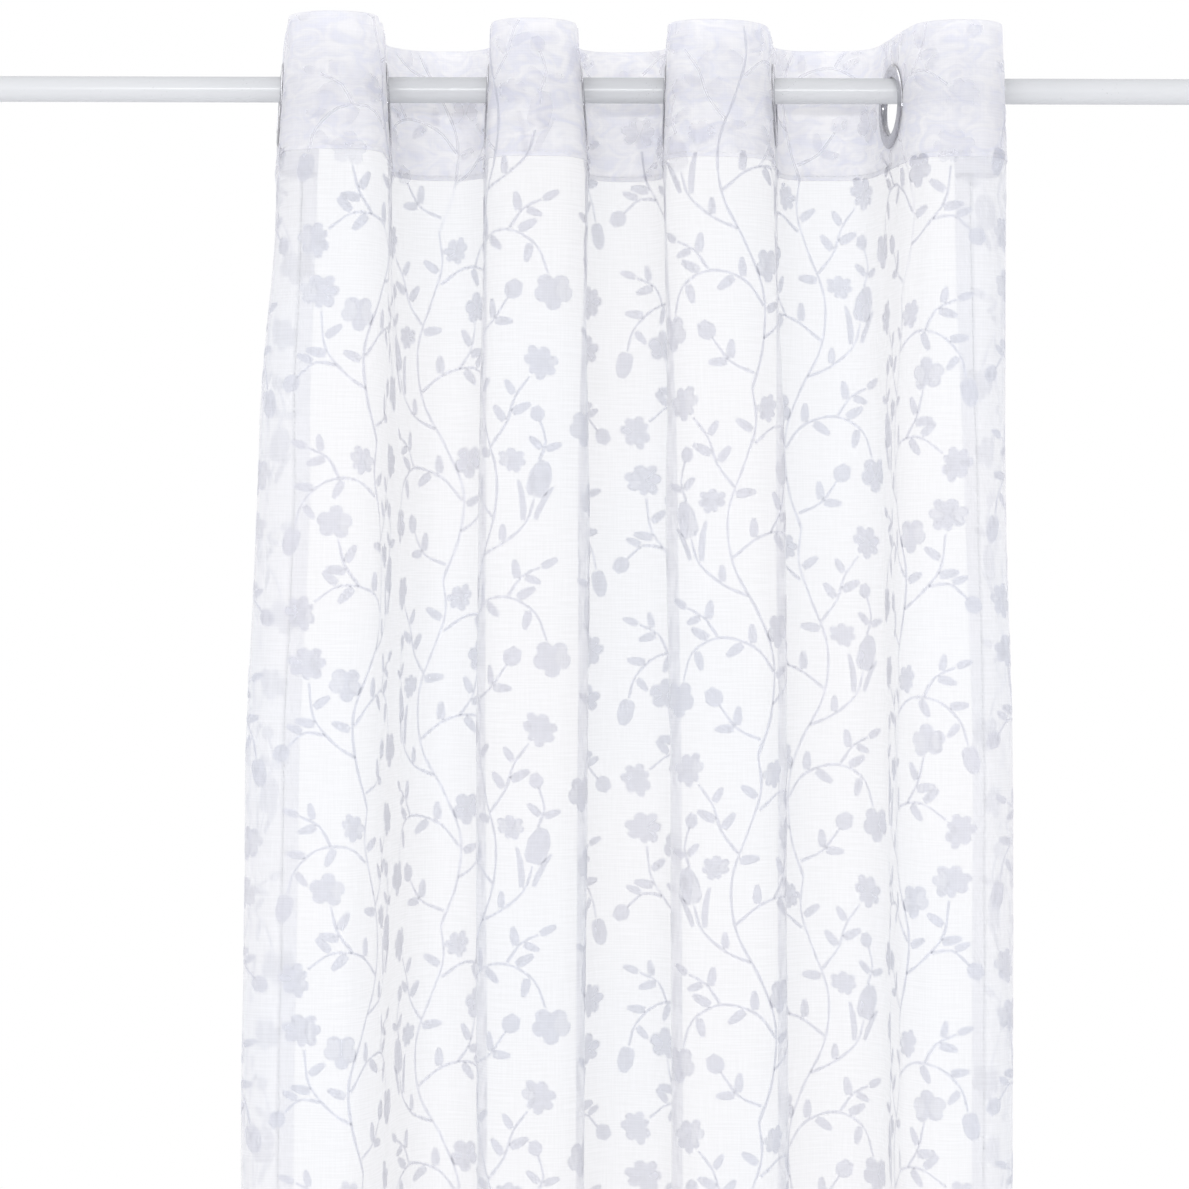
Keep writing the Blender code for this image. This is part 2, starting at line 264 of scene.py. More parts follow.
def creaseRelief(reach, height):    # how far the cloth stands off its plain folds
    standOff = np.zeros(np.broadcast(reach, height).shape)
    inHeading = smooth((height - hang["headingBottom"] + calm["under"]) / calm["over"])
    for crease in creases:
        share = (crease["top"] - height) / (crease["top"] - crease["bottom"])
        along = smooth(share / creaseEnds["top"]) * smooth((1.0 - share) / creaseEnds["bottom"])
        away = (reach - crease["reach"] - crease["drift"] * share) / crease["half"]
        standOff += crease["rise"] * along * np.exp(-away * away)
    for ripple in ripples:
        turn = 2 * math.pi * (reach / ripple["across"] + height / ripple["down"]) + ripple["start"]
        standOff += ripple["rise"] * np.sin(turn) * (1.0 - calm["share"] * inHeading)
    below = (hang["headingBottom"] - height) / gathers["fade"]
    gather = sum(np.sin(2 * math.pi * reach / gathers[wave]) for wave in ("across", "second")) / 2
    standOff += gathers["rise"] * gather * np.exp(-np.abs(below) * gathers["drop"]) * (below > -1.0)
    for dent in dents:
        across, up = (reach - dent["reach"]) / dent["half"], (height - dent["height"]) / dent["tall"]
        standOff += dent["rise"] * np.exp(-(across ** 2 + up ** 2))
    # flat where an eyelet grips the heading
    for middle in wallReach:
        away = np.hypot(reach - middle, height - hang["eyeletHeight"])
        standOff *= smooth((away - calm["eyelet"]) / calm["eyeletOver"])
    return standOff


drape = {"across": 0.002, "down": 0.004}    # spacing of the worked-out folds


def plainNormals(grid):    # level, square to the cloth, towards its face
    along = np.gradient(grid[:, :, :2], axis=1)
    along /= np.linalg.norm(along, axis=2, keepdims=True)
    return np.stack((along[:, :, 1], -along[:, :, 0]), axis=2)


def workOutDrape():
    reach = np.linspace(0.0, hang["width"], round(hang["width"] / drape["across"]) + 1)
    span = hang["headingTop"] - hang["panelBottom"]
    height = hang["headingTop"] - np.linspace(0.0, span, round(span / drape["down"]) + 1)
    grid = np.zeros((len(height), len(reach), 3))
    for row, level in enumerate(height):
        route, xs = planRoute(float(level))
        route = np.array([tuple(point) for point in route])
        along = np.concatenate(([0.0], np.cumsum(np.hypot(*np.diff(route, axis=0).T))))
        along *= hang["width"] / along[-1]
        grid[row, :, 0] = np.interp(reach, along, route[:, 0])
        grid[row, :, 1] = np.interp(reach, along, route[:, 1])
        grid[row, :, 2] = liftOf(grid[row], xs, level)
    standOff = creaseRelief(reach[None, :], height[:, None])
    grid[:, :, :2] += plainNormals(grid) * standOff[:, :, None]
    drape["grid"] = grid
    drape["normals"] = plainNormals(grid)


def onCloth(reach, height, offset):    # points this far in front of the cloth's middle
    rows, columns = drape["grid"].shape[:2]
    span = hang["headingTop"] - hang["panelBottom"]
    justInside = 0.999999
    column = np.clip(reach / hang["width"], 0.0, justInside) * (columns - 1)
    row = np.clip((hang["headingTop"] - height) / span, 0.0, justInside) * (rows - 1)
    left, upper = column.astype(int), row.astype(int)
    a, b = (column - left)[:, None], (row - upper)[:, None]

    def read(table):
        above = table[upper, left] * (1 - a) + table[upper, left + 1] * a
        under = table[upper + 1, left] * (1 - a) + table[upper + 1, left + 1] * a
        return above * (1 - b) + under * b

    place = read(drape["grid"])
    normal = read(drape["normals"])
    place[:, :2] += normal / np.linalg.norm(normal, axis=1, keepdims=True) * offset[:, None]
    place[:, 2] += height
    return place


workOutDrape()
print("folds worked out", drape["grid"].shape)

# ---- finishes

# For each cloth: its ground's colour with the two it drifts to, how solid it is and how that
# varies, the share of light that glows through, the yarn's and the raised pattern's bump,
# and how much the yarn darkens and lightens it.
shades = {
    "voile": {
        "cool": (0.907, 0.917, 0.951), "colour": (0.914, 0.918, 0.946), "tint": (0.917, 0.916, 0.941),
        "solid": 0.54, "spread": 0.014, "through": 0.47, "bump": 0.0, "emboss": 0.0, "yarn": (0.993, 1.006),
    },
    # the heading's cool and tint follow its brocade's bump: painted shade in the hollows, painted highlight
    # on the raised parts
    "heading": {
        "cool": (0.830, 0.837, 0.907), "colour": (0.872, 0.873, 0.914), "tint": (0.929, 0.926, 0.947),
        "solid": 0.93, "spread": 0.01, "through": 0.46, "bump": 0.04, "emboss": 0.30, "yarn": (0.991, 1.008),
    },
    "vine": {
        "cool": (0.935, 0.946, 0.996), "colour": (0.940, 0.946, 0.994), "tint": (0.942, 0.945, 0.992),
        "solid": 0.78, "spread": 0.02, "through": 0.50, "bump": 0.12, "emboss": 0.0, "yarn": (0.990, 1.008),
    },
    "headingVine": {
        "cool": (0.926, 0.936, 0.984), "colour": (0.936, 0.939, 0.980), "tint": (0.942, 0.940, 0.976),
        "solid": 0.46, "spread": 0.02, "through": 0.66, "bump": 0.12, "emboss": 0.0, "yarn": (0.988, 1.010),
    },
    "thread": {
        "cool": (0.850, 0.860, 0.890), "colour": (0.860, 0.860, 0.885), "tint": (0.860, 0.856, 0.878),
        "solid": 0.96, "spread": 0.02, "through": 0.10, "bump": 0.0, "emboss": 0.0, "yarn": (0.97, 1.02),
    },
}
weave = {
    "uv": "cloth",
    "slubLong": 40.0, "slubShort": 1050.0,    # slubs a metre, along and across the yarn
    "weftShare": 0.64,                        # the weft shows more than the warp
    "cloud": (9.0, 5.4),                      # soft patches of colour a metre, across and down
    "brocade": (52.0, 84.0, 3.0, 1.1),        # the heading's brocade relief, with painted shade in its hollows and painted highlight on its ridges: across, down, detail, how far they curl
    "patches": (0.34, 0.48, 0.66),            # where the patches take each colour
    "yarnRange": (0.35, 0.65), "solidRange": (0.32, 0.68),
    "yarnDepth": 0.0006, "brocadeDepth": 0.0012,
    "rough": 0.82, "shine": 0.25, "sheen": 0.45, "sheenRough": 0.40,
}


def addNode(tree, kind, inputs=None, **values):
    made = tree.nodes.new(kind)
    for name, value in values.items():
        setattr(made, name, value)
    for name, value in (inputs or {}).items():
        made.inputs[name].default_value = value
    return made


def addRange(tree, value, before, after):    # stretches one range of numbers to another
    ends = {"From Min": before[0], "From Max": before[1], "To Min": after[0], "To Max": after[1]}
    stretch = addNode(tree, "ShaderNodeMapRange", ends)
    tree.links.new(value, stretch.inputs["Value"])
    return stretch.outputs["Result"]


def addRamp(tree, value, places, colours):
    ramp = addNode(tree, "ShaderNodeValToRGB")
    steps = ramp.color_ramp.elements
    for step, place, colour in ((0, places[0], colours[0]), (1, places[-1], colours[-1])):
        steps[step].position = place
        steps[step].color = (*colour, 1.0)
    for place, colour in zip(places[1:-1], colours[1:-1]):
        steps.new(place).color = (*colour, 1.0)
    tree.links.new(value, ramp.inputs["Fac"])
    return ramp.outputs["Color"]


def addBump(tree, height, strength, distance):
    bump = addNode(tree, "ShaderNodeBump", {"Strength": strength, "Distance": distance})
    tree.links.new(height, bump.inputs["Height"])
    return bump


def mixShaders(tree, share, first, second):
    mix = addNode(tree, "ShaderNodeMixShader")
    if isinstance(share, float):
        mix.inputs["Fac"].default_value = share
    else:
        tree.links.new(share, mix.inputs["Fac"])
    tree.links.new(first, mix.inputs[1])
    tree.links.new(second, mix.inputs[2])
    return mix.outputs["Shader"]


def clearShader(tree):
    return addNode(tree, "ShaderNodeBsdfTransparent").outputs["BSDF"]


def yarnNoise(tree, across, down, detail=0.0, curl=0.0):    # on the flat cloth
    flat = addNode(tree, "ShaderNodeUVMap", uv_map=weave["uv"])
    stretch = addNode(tree, "ShaderNodeMapping", {"Scale": (across, down, 1.0)})
    noise = addNode(tree, "ShaderNodeTexNoise", {"Scale": 1.0, "Detail": detail, "Distortion": curl},
                    noise_dimensions="2D")
    tree.links.new(flat.outputs["UV"], stretch.inputs["Vector"])
    tree.links.new(stretch.outputs["Vector"], noise.inputs["Vector"])
    return noise.outputs["Fac"]


def yarnBothWays(tree):
    both = addNode(tree, "ShaderNodeMath", operation="ADD")
    sizes = (weave["slubLong"], weave["slubShort"])
    shares = (weave["weftShare"], 1.0 - weave["weftShare"])
    for socket, size, share in zip(both.inputs, (sizes, sizes[::-1]), shares):
        part = addNode(tree, "ShaderNodeMath", operation="MULTIPLY")
        tree.links.new(yarnNoise(tree, *size), part.inputs[0])
        part.inputs[1].default_value = share
        tree.links.new(part.outputs["Value"], socket)
    return both.outputs["Value"]


def clothFinish(name, shade):
    finish = bpy.data.materials.new(name)
    finish.use_nodes = True
    tree = finish.node_tree
    tree.nodes.clear()
    join = tree.links.new
    yarn = yarnBothWays(tree)
    patchesAndBrocadeShade = yarnNoise(tree, *weave["brocade" if shade["emboss"] else "cloud"])

    colours = [shade[key] for key in ("cool", "colour", "tint")]
    colour = addNode(tree, "ShaderNodeMix", {"Factor": 1.0}, data_type="RGBA", blend_type="MULTIPLY")
    # on the heading the colour follows the brocade's bump: painted shade in its hollows, painted highlight
    # on its raised parts
    join(addRamp(tree, patchesAndBrocadeShade, weave["patches"], colours), colour.inputs["A"])
    join(addRange(tree, yarn, weave["yarnRange"], shade["yarn"]), colour.inputs["B"])

    face = addNode(tree, "ShaderNodeBsdfPrincipled",
                   {"Roughness": weave["rough"], "Specular IOR Level": weave["shine"],
                    "Sheen Weight": weave["sheen"], "Sheen Roughness": weave["sheenRough"]})
    glow = addNode(tree, "ShaderNodeBsdfTranslucent")
    join(colour.outputs["Result"], face.inputs["Base Color"])
    join(colour.outputs["Result"], glow.inputs["Color"])
    if shade["bump"]:
        bump = addBump(tree, yarn, shade["bump"], weave["yarnDepth"])
        if shade["emboss"]:
            raised = addBump(tree, patchesAndBrocadeShade, shade["emboss"], weave["brocadeDepth"])
            join(raised.outputs["Normal"], bump.inputs["Normal"])
        join(bump.outputs["Normal"], face.inputs["Normal"])
        join(bump.outputs["Normal"], glow.inputs["Normal"])

    body = mixShaders(tree, shade["through"], face.outputs["BSDF"], glow.outputs["BSDF"])
    limits = (max(shade["solid"] - shade["spread"], 0.0), min(shade["solid"] + shade["spread"], 1.0))
    solid = addRange(tree, yarn, weave["solidRange"], limits)
    sheer = mixShaders(tree, solid, clearShader(tree), body)
    # a ray that passes a thin piece meets the cloth once, where it goes in
    leaving = addNode(tree, "ShaderNodeNewGeometry").outputs["Backfacing"]
    output = addNode(tree, "ShaderNodeOutputMaterial")
    join(mixShaders(tree, leaving, sheer, clearShader(tree)), output.inputs["Surface"])
    return finish


finishes = {name: clothFinish(name, shade) for name, shade in shades.items()}

metalLook = {
    "colour": (0.55, 0.55, 0.58), "worn": 0.86,    # the darker shade, as a share of the colour
    "rough": (0.16, 0.32), "scuffs": 260.0, "detail": 4.0,
    "roughRange": (0.35, 0.75), "toneRange": (0.30, 0.62),
    "bump": 0.10, "depth": 0.0001,
}
paintLook = {
    "colour": (0.700, 0.711, 0.730), "speck": 0.62,    # a speck's shade, as a share of the colour
    "rough": (0.17, 0.31), "specks": 420.0, "speckRange": (0.06, 0.15),
    "patches": 34.0, "patchRange": (0.56, 0.62),
    "orangePeel": 900.0, "bump": 0.12, "depth": 0.0001,
}


def startFinish(name):    # a plain finish, its tree and the object's own coordinates
    finish = bpy.data.materials.new(name)
    finish.use_nodes = True
    tree = finish.node_tree
    return finish, tree, tree.nodes["Principled BSDF"], addNode(tree, "ShaderNodeTexCoord").outputs["Object"]


def solidNoise(tree, place, inputs):
    noise = addNode(tree, "ShaderNodeTexNoise", inputs)
    tree.links.new(place, noise.inputs["Vector"])
    return noise.outputs["Fac"]


def metalFinish(name, look):
    finish, tree, face, place = startFinish(name)
    scuffs = solidNoise(tree, place, {"Scale": look["scuffs"], "Detail": look["detail"]})
    worn = tuple(look["worn"] * part for part in look["colour"])
    bump = addBump(tree, scuffs, look["bump"], look["depth"])
    tree.links.new(addRange(tree, scuffs, look["roughRange"], look["rough"]), face.inputs["Roughness"])
    colour = addRamp(tree, scuffs, look["toneRange"], (worn, look["colour"]))
    tree.links.new(colour, face.inputs["Base Color"])
    tree.links.new(bump.outputs["Normal"], face.inputs["Normal"])
    face.inputs["Metallic"].default_value = 1.0
    return finish


def paintFinish(name, look):
    finish, tree, face, place = startFinish(name)
    specks = addNode(tree, "ShaderNodeTexVoronoi", {"Scale": look["specks"]})
    tree.links.new(place, specks.inputs["Vector"])
    darker = tuple(look["speck"] * part for part in look["colour"])
    spots = addRamp(tree, specks.outputs["Distance"], look["speckRange"], (darker, look["colour"]))
    patches = solidNoise(tree, place, {"Scale": look["patches"]})
    colour = addNode(tree, "ShaderNodeMix", {"A": (*look["colour"], 1.0)}, data_type="RGBA")
    tree.links.new(addRange(tree, patches, look["patchRange"], (0.0, 1.0)), colour.inputs["Factor"])
    tree.links.new(spots, colour.inputs["B"])
    tree.links.new(colour.outputs["Result"], face.inputs["Base Color"])
    peel = solidNoise(tree, place, {"Scale": look["orangePeel"]})
    bump = addBump(tree, peel, look["bump"], look["depth"])
    tree.links.new(bump.outputs["Normal"], face.inputs["Normal"])
    tree.links.new(addRange(tree, peel, (0.0, 1.0), look["rough"]), face.inputs["Roughness"])
    return finish


finishes["chrome"] = metalFinish("chrome", metalLook)
finishes["whitePaint"] = paintFinish("whitePaint", paintLook)
print("finishes made", sorted(finishes))

# ---- shared steps


def useModifiers(piece):
    bpy.ops.object.select_all(action="DESELECT")
    bpy.context.view_layer.objects.active = piece
    piece.select_set(True)
    for modifier in list(piece.modifiers):
        bpy.ops.object.modifier_apply(modifier=modifier.name)
    bpy.ops.object.select_all(action="DESELECT")


def takeApart(shape):    # its places stay, and its faces in an order that is alike in every run
    places = np.array([tuple(vertex.co) for vertex in shape.data.vertices])
    faces = np.array([tuple(polygon.vertices) for polygon in shape.data.polygons])
    bpy.data.objects.remove(shape)
    turned = np.arange(faces.shape[1]) + faces.argmin(axis=1)[:, None]
    faces = np.take_along_axis(faces, turned % faces.shape[1], axis=1)
    return places, faces[np.lexsort(faces.T[::-1])]


def meshFrom(name, places, faces, flat, finish):    # flat: a cloth's points, laid flat, or None
    mesh = bpy.data.meshes.new(name)
    sides = faces.shape[1]
    mesh.vertices.add(len(places))
    mesh.vertices.foreach_set("co", places.astype(np.float32).ravel())
    mesh.loops.add(faces.size)
    mesh.loops.foreach_set("vertex_index", faces.astype(np.int32).ravel())
    mesh.polygons.add(len(faces))
    mesh.polygons.foreach_set("loop_start", np.arange(0, faces.size, sides, dtype=np.int32))
    mesh.polygons.foreach_set("loop_total", np.full(len(faces), sides, np.int32))
    mesh.update(calc_edges=True)
    mesh.validate()
    if flat is not None:
        layer = mesh.uv_layers.new(name=weave["uv"])
        layer.data.foreach_set("uv", flat[faces.ravel()].astype(np.float32).ravel())
    mesh.materials.append(finish)
    piece = bpy.data.objects.new(name, mesh)
    bpy.context.scene.collection.objects.link(piece)
    mesh.shade_smooth()
    return piece


def gridFaces(rows, columns):
    number = np.arange(rows * columns).reshape(rows, columns)
    faces = np.stack((number[:-1, :-1], number[1:, :-1], number[1:, 1:], number[:-1, 1:]), axis=-1)
    return number, faces.reshape(-1, 4)


def closingFaces(number, faces):    # joins each open edge to the same edge of the other layer
    partner = number[::-1].ravel()
    starts, ends = faces.ravel(), np.roll(faces, -1, axis=1).ravel()
    both = set(zip(starts.tolist(), ends.tolist()))
    half = number.size // 2
    loose = [(a, b) for a, b in both if (b, a) not in both and a < half and b < half]
    return np.array([(b, a, partner[a], partner[b]) for a, b in sorted(loose)])


# ---- the heading: the cloth turned over a tape, eyelets punched through both layers

heading = {
    "columns": 480,
    "rows": 34,
    "layer": 0.00075,      # each layer's distance from the middle
    "turnSteps": 4,        # an even number, so that each row has its partner on the other side
    "seam": 0.0030,        # height of the stitched line above the lower edge
    "pinch": 0.00028,
    "pinchWide": 0.0016,
    "seamRows": (0.0, 0.0010, 0.0020, 0.0030, 0.0040, 0.0052),    # above the lower edge
    "closeOver": 0.005,    # the layers close towards a side edge, down to this share
    "closeTo": 0.35,
    "hole": 0.0246,        # hidden under the flanges
    "holeSlack": 0.0028,
    "sharp": 60.0,
}


def layerOffset(reach, height):    # the two layers close at the seam and at the side edges
    edge = smooth(np.minimum(reach, hang["width"] - reach) / heading["closeOver"])
    fromSeam = (height - hang["headingBottom"] - heading["seam"]) / heading["pinchWide"]
    layer = heading["layer"] - heading["pinch"] * np.exp(-fromSeam * fromSeam)
    return layer * (heading["closeTo"] + (1.0 - heading["closeTo"]) * edge)


def headingHeights():
    near = hang["headingBottom"] + np.array(heading["seamRows"])
    top = hang["headingTop"] - heading["layer"]
    return np.concatenate((near, np.linspace(near[-1], top, heading["rows"] - len(near) + 2)[1:]))


def pushFromEyelets(reach, height, radius):
    for middle in wallReach:
        across, up = reach - middle, height - hang["eyeletHeight"]
        away = np.maximum(np.hypot(across, up), 1e-6)
        grow = np.where(away < radius, radius / away, 1.0)
        reach, height = middle + across * grow, hang["eyeletHeight"] + up * grow
    return reach, height


def makeHeading():
    levels = headingHeights()
    turn = np.linspace(0.0, math.pi, heading["turnSteps"] + 2)[1:-1]
    top = hang["headingTop"] - heading["layer"]
    height = np.concatenate((levels, top + heading["layer"] * np.sin(turn), levels[::-1]))
    side = np.concatenate((np.ones(len(levels)), np.cos(turn), -np.ones(len(levels))))
    across = np.linspace(0.0, hang["width"], heading["columns"] + 1)
    reach, height = np.meshgrid(across, height)
    side = np.repeat(side[:, None], reach.shape[1], axis=1)
    # rows run from the back's lower edge over the top, so the shell's faces look outwards
    reach, height, side = reach[::-1], height[::-1], side[::-1]
    down = hang["headingTop"] - height
    flat = np.stack((reach, np.where(side < 0, down, -down)), axis=-1).reshape(-1, 2)
    clear = np.ones(reach.shape, bool)
    for middle in wallReach:
        away = np.hypot(reach - middle, height - hang["eyeletHeight"])
        clear &= away > heading["hole"] - heading["holeSlack"]
    reach, height = pushFromEyelets(reach, height, heading["hole"])
    places = onCloth(reach.ravel(), height.ravel(), (side * layerOffset(reach, height)).ravel())
    number, faces = gridFaces(*reach.shape)
    faces = faces[clear.ravel()[faces].all(axis=1)]
    faces = np.concatenate((faces, closingFaces(number, faces)))
    used = np.unique(faces)
    renumber = np.zeros(number.size, int)
    renumber[used] = np.arange(len(used))
    band = meshFrom("headingBand", places[used], renumber[faces], flat[used], finishes["heading"])
    band.data.set_sharp_from_angle(angle=math.radians(heading["sharp"]))
    return band


headingBand = makeHeading()
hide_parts("heading")
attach(headingBand, "root")
print("heading made", len(headingBand.data.polygons))

# ---- the panel: one sheer sheet with turned and stitched side hems and bottom hem

panel = {
    "columns": 292,
    "rows": 122,
    "crowding": 1.35,
    "thickness": 0.0003,
    "tuck": 0.004,          # how far its top goes up between the heading's layers
    "sideHem": 0.013,
    "sideHemRows": (0.013, 0.00715, 0.0016),    # its columns, from its own edge outwards
    "hemEdge": 0.0012,      # the front's first column, and the next one
    "nextColumn": 0.005,
    "bottomHem": 0.060,
    "hemRise": 0.0015,      # where the bottom hem begins to turn
    "layerGap": 0.0007,     # between a hem's layers
    "hemDepth": (3.0, 1.2),    # the bottom hem's, in gaps: behind the side hems, and between
    "hemStep": 0.004,
    "turnSteps": 4,
}


def hemColumns():    # where each column is across the cloth, how far back, and its flat place
    gap = panel["layerGap"]
    turned = [(reach, -gap) for reach in panel["sideHemRows"]]
    turned += [(gap / 2 - gap / 2 * math.sin(a), -gap / 2 - gap / 2 * math.cos(a))
               for a in np.linspace(0.0, math.pi, 5)[1:-1]]
    turned += [(panel["hemEdge"], 0.0)]
    reach = [place for place, _ in turned]
    back = [offset for _, offset in turned]
    middle = np.linspace(panel["nextColumn"], hang["width"] - panel["nextColumn"], panel["columns"] - 2)
    reach = np.concatenate((reach, middle, hang["width"] - np.array(reach[::-1])))
    back = np.concatenate((back, np.zeros(len(middle)), back[::-1]))
    flat = reach.copy()
    flat[:3] *= -1.0
    flat[-3:] = 2 * hang["width"] - flat[-3:]
    return reach, back, flat


def makePanel():
    reach, back, flatAcross = hemColumns()
    top = hang["headingBottom"] + panel["tuck"]
    bottom = hang["panelBottom"] + panel["hemRise"]
    shares = np.linspace(0.0, 1.0, panel["rows"] + 1) ** panel["crowding"]
    main = top + (bottom - top) * shares
    # behind the side hems the bottom hem lies deeper, because it passes two more layers
    fromEdge = np.minimum(reach, hang["width"] - reach)
    deep, shallow = panel["hemDepth"]
    beside = smooth((fromEdge - panel["sideHem"]) / panel["hemStep"])
    depth = panel["layerGap"] * (shallow + (deep - shallow) * (1.0 - beside))
    rows, flats = [], []
    for height in main:
        rows.append((np.full(len(reach), height), back))
        flats.append(hang["headingTop"] - height)
    for angle in np.linspace(0.0, math.pi, panel["turnSteps"] + 2)[1:-1]:
        swing = back + depth / 2
        rows.append((bottom - np.abs(swing) * math.sin(angle), -depth / 2 + swing * math.cos(angle)))
        flats.append(hang["headingTop"] - hang["panelBottom"])
    for step in np.linspace(panel["hemRise"], panel["bottomHem"], 5):
        rows.append((np.full(len(reach), hang["panelBottom"] + step), -depth - back))
        flats.append(hang["headingTop"] - hang["panelBottom"] + step)
    height = np.array([row[0] for row in rows])
    offset = np.array([row[1] for row in rows])
    across = np.repeat(reach[None, :], len(rows), axis=0)
    flat = np.stack(np.broadcast_arrays(flatAcross[None, :], np.array(flats)[:, None]), axis=-1)
    places = onCloth(across.ravel(), height.ravel(), offset.ravel())
    faces = gridFaces(*across.shape)[1]
    sheet = meshFrom("voilePanel", places, faces, flat.reshape(-1, 2), finishes["voile"])
    wall = sheet.modifiers.new("cloth thickness", "SOLIDIFY")
    wall.thickness = panel["thickness"]
    wall.offset = 0.0
    useModifiers(sheet)
    return sheet


voilePanel = makePanel()
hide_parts("panel")
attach(voilePanel, "root")
print("panel made", len(voilePanel.data.polygons))

# ---- the woven vine: each kind of flower, bud and leaf is modelled once, charted into one
# sprig, and the sprig is repeated over the flat cloth and laid on the folds

relief = {
    "edge": 0.00022, "rise": 0.00016,        # a shape's rim above the cloth, and its middle above that
    "under": -0.00010,                       # its underside, just within the cloth
    "stemHalf": 0.00118, "stemRise": 0.00024, "stemSide": 0.00012,
    "onHeading": 0.00036,                    # how much higher it stands on the stiff heading
    "uneven": (0.18, 1.9), "taper": 0.25,    # a stem's width along its way
    "spacing": 0.0062,                       # between a stem's points
    "weld": 0.00001,
}
# The outlines are of radius 1, or of length 1 for a leaf and a blade.
petal = {"dip": 0.28, "round": 0.55, "gap": 0.02, "uneven": 0.06, "starts": (0.7, 2.0), "flatten": 0.3}
tulip = {"half": 0.66, "wide": 1.12, "taper": 0.40}
bud = {"points": 12, "half": 0.90, "tooth": 0.16, "plainUnder": -0.3, "plain": 0.2}
leaf = {"half": 0.20, "point": 1.15, "wide": 1.26, "taper": 0.54, "bend": 0.06}
blade = {"half": 0.072, "point": 1.0, "wide": 1.2, "taper": 0.4, "bend": 0.26}


def flowerEdge(turn, lobes, taper):    # a scalloped flower, wider at its top
    share = (turn / (2 * math.pi) * lobes) % 1.0
    inPetal = petal["gap"] < share < 1.0 - petal["gap"]
    fullness = math.sin(math.pi * share) ** petal["round"] if inPetal else 0.0
    twice, thrice = petal["starts"]
    uneven = petal["uneven"] * (math.sin(2 * turn + twice) + math.sin(3 * turn + thrice))
    radius = 1.0 + uneven - petal["dip"] * (1.0 - fullness)
    wide = 1.0 + taper * (math.sin(turn) / 2 - 0.1)
    return Vector((math.cos(turn) * wide, math.sin(turn) * (1.0 - petal["flatten"] * taper))) * radius


def tulipEdge(turn):    # an egg with a pointed tip, its base below the origin
    up = (1.0 - math.cos(turn)) / 2
    width = tulip["half"] * math.sin(turn) * (tulip["wide"] - tulip["taper"] * up)
    return Vector((width, up * 2.0 - 1.0))


def budEdge(turn):    # a round bud, toothed but for its lower edge
    outward = round(turn / (2 * math.pi) * bud["points"]) % 2
    share = 1.0 if math.sin(turn) > bud["plainUnder"] else bud["plain"]
    return Vector((math.cos(turn) * bud["half"], math.sin(turn))) * (1.0 - bud["tooth"] * outward * share)


def leafEdge(turn, look):    # a pointed leaf, its base at the origin, bent to one side
    up = (1.0 - math.cos(turn)) / 2
    side = 1.0 if math.sin(turn) > 0 else -1.0
    width = look["half"] * abs(math.sin(turn)) ** look["point"] * (look["wide"] - look["taper"] * up)
    return Vector((side * width + look["bend"] * up * up, up))


def makePad(name, points, edge):    # one flat shape with a raised, rounded top
    bpy.ops.mesh.primitive_circle_add(vertices=points, radius=1.0, fill_type="TRIFAN")
    pad = bpy.context.object
    pad.name = name
    bpy.ops.object.mode_set(mode="EDIT")
    bpy.ops.mesh.select_all(action="SELECT")
    bpy.ops.mesh.extrude_region_move(TRANSFORM_OT_translate={"value": (0.0, 0.0, 1.0)})
    bpy.ops.mesh.select_all(action="SELECT")
    bpy.ops.mesh.quads_convert_to_tris()
    bpy.ops.mesh.normals_make_consistent(inside=False)
    bpy.ops.object.mode_set(mode="OBJECT")
    places, faces = takeApart(pad)
    rim = [edge(2 * math.pi * n / points) for n in range(points)]
    middle = sum(rim, Vector((0.0, 0.0))) / points
    for row, (x, y, z) in enumerate(places):
        radius = min(Vector((x, y)).length, 1.0)
        turn = round(math.atan2(y, x) / (2 * math.pi) * points) % points
        above = relief["edge"] + relief["rise"] * (1.0 - radius * radius)
        places[row] = (*middle.lerp(rim[turn], radius), above if z > 0.5 else relief["under"])
    # points that fall together become one, and the faces between them go
    places, point = np.unique(places, axis=0, return_inverse=True)
    faces = point.reshape(-1)[faces]
    return places, faces[(faces != np.roll(faces, 1, axis=1)).all(axis=1)]


pads = {
    "flower": makePad("flower", 28, lambda turn: flowerEdge(turn, 7, 0.42)),
    "bloom": makePad("bloom", 25, lambda turn: flowerEdge(turn, 5, 0.10)),
    "tulip": makePad("tulip", 14, tulipEdge),
    "bud": makePad("bud", bud["points"], budEdge),
    "leaf": makePad("leaf", 10, lambda turn: leafEdge(turn, leaf)),
    "blade": makePad("blade", 10, lambda turn: leafEdge(turn, blade)),
}
print("motif shapes made", {name: len(faces) for name, (_, faces) in pads.items()})


def smoothLine(points):    # an even, rounded line through the points
    points = [Vector(point) for point in points]
    ends = [points[0] * 2 - points[1]] + points + [points[-1] * 2 - points[-2]]
    line = []
    for before, here, after, beyond in zip(ends, ends[1:], ends[2:], ends[3:]):
        steps = max(2, round((after - here).length / relief["spacing"]))
        for step in range(steps):
            t = step / steps
            line.append(0.5 * ((2 * here) + (after - before) * t
                               + (2 * before - 5 * here + 4 * after - beyond) * t * t
                               + (3 * here - before - 3 * after + beyond) * t * t * t))
    line.append(points[-1])
    return line


